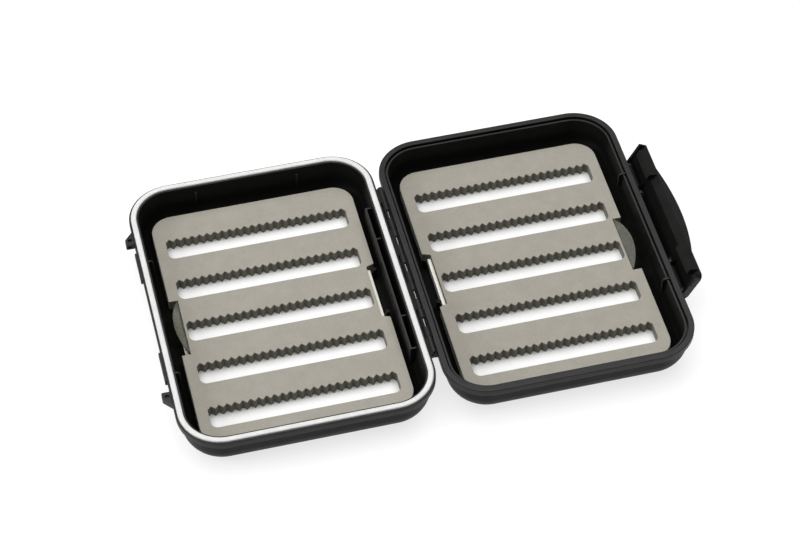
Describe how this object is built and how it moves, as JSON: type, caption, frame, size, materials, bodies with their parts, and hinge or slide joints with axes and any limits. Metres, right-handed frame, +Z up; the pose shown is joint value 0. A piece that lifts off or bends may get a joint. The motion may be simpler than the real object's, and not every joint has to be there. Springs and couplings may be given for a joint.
{
  "type": "fly box",
  "caption": "Slim two-tray fly box, open flat: gasket rim, windowed knuckle hinge, hooked side latch and slotted foam inserts with serrated edges.",
  "frame": {"origin": "centre of the base tray's flat underside", "axes": "+X from the latch side of the base across the hinge to the lid; +Y along the hinge; +Z up"},
  "size_m": [0.198, 0.123, 0.0211],
  "materials": {
    "case_plastic": "satin",
    "lid_plastic": "satin",
    "latch_plastic": "satin",
    "gasket_rubber": "matte",
    "pin_steel": "satin",
    "plate_white": "satin",
    "foam_olive": "matte",
    "tab_clear": "satin"
  },
  "bodies": {
    "base": {"base_tray": "case_plastic", "rim_gasket": "gasket_rubber", "hinge_pin": "pin_steel"},
    "lid": {"lid_tray": "lid_plastic", "latch_pin_far": "pin_steel", "latch_pin_near": "pin_steel"},
    "latch": {"latch_lever": "latch_plastic"},
    "base_insert": {"base_insert_plate": "plate_white", "base_foam": "foam_olive", "base_pull_tab": "tab_clear"},
    "lid_insert": {"lid_insert_plate": "plate_white", "lid_foam": "foam_olive", "lid_pull_tab": "tab_clear"}
  },
  "joints": [
    {"name": "lid_hinge", "type": "hinge", "parent": "base", "child": "lid", "pos_m": [0.04675, 0, 0.01585], "axis": [0, -1, 0], "range_deg": [0, 180]},
    {"name": "latch_pivot", "type": "hinge", "parent": "lid", "child": "latch", "pos_m": [0.1403, 0.0008, 0.0114], "axis": [0, 1, 0], "range_deg": [-28, 72]},
    {"name": "base_insert_lift", "type": "slide", "parent": "base", "child": "base_insert", "axis": [0, 0, 1], "range_m": [0, 0.0065]},
    {"name": "lid_insert_lift", "type": "slide", "parent": "lid", "child": "lid_insert", "axis": [0, 0, 1], "range_m": [0, 0.0065]}
  ]
}
